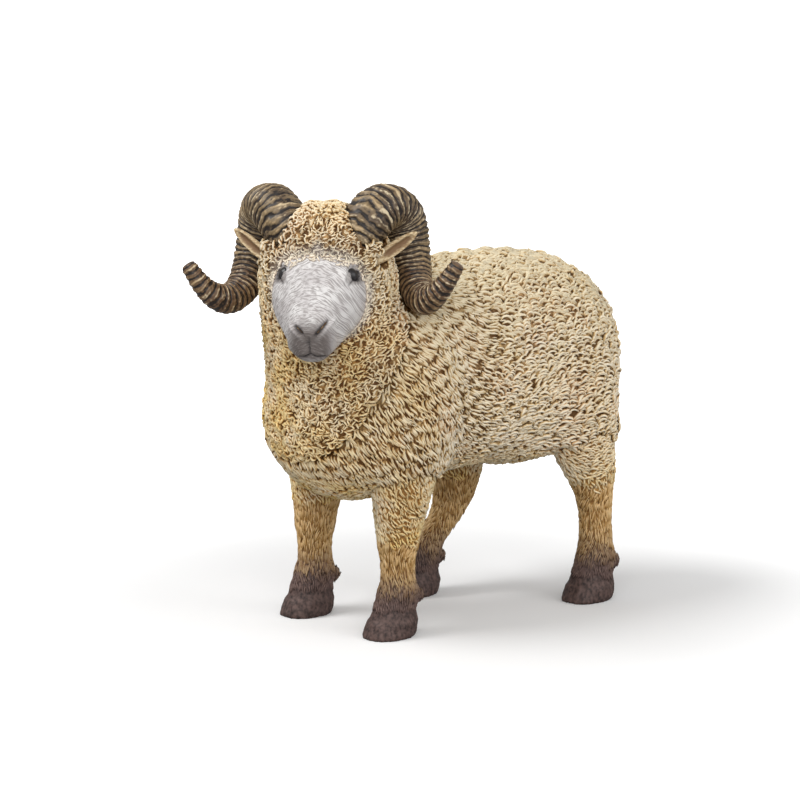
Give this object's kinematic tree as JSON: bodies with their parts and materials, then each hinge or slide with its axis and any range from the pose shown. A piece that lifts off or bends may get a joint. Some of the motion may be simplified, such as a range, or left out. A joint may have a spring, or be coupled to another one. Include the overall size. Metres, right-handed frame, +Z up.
{
  "type": "toy farm animal figure",
  "caption": "Moulded and hand-painted toy ram with curly fleece, curled horns and turned head, which stands on four cloven hooves as a figure for play or display.",
  "frame": {"origin": "middle of the figure's bounding box in plan, on the ground under the hooves", "axes": "+Z up, the animal looks along -Y, its left side is +X; the head is turned towards its left"},
  "size_m": [0.0456, 0.0886, 0.0829],
  "materials": {
    "fleece_paint": "matte",
    "horn_paint": "satin",
    "ear_paint": "matte",
    "leg_paint": "matte",
    "face_paint": "matte",
    "hoof_paint": "satin",
    "eye_paint": "gloss"
  },
  "bodies": {
    "root": {"torso": "fleece_paint", "neck_and_head": "fleece_paint", "tail": "fleece_paint", "horn_left": "horn_paint", "horn_right": "horn_paint", "ear_left": "ear_paint", "ear_right": "ear_paint", "leg_front_left": "leg_paint", "leg_front_right": "leg_paint", "leg_hind_left": "leg_paint", "leg_hind_right": "leg_paint"}
  },
  "joints": []
}
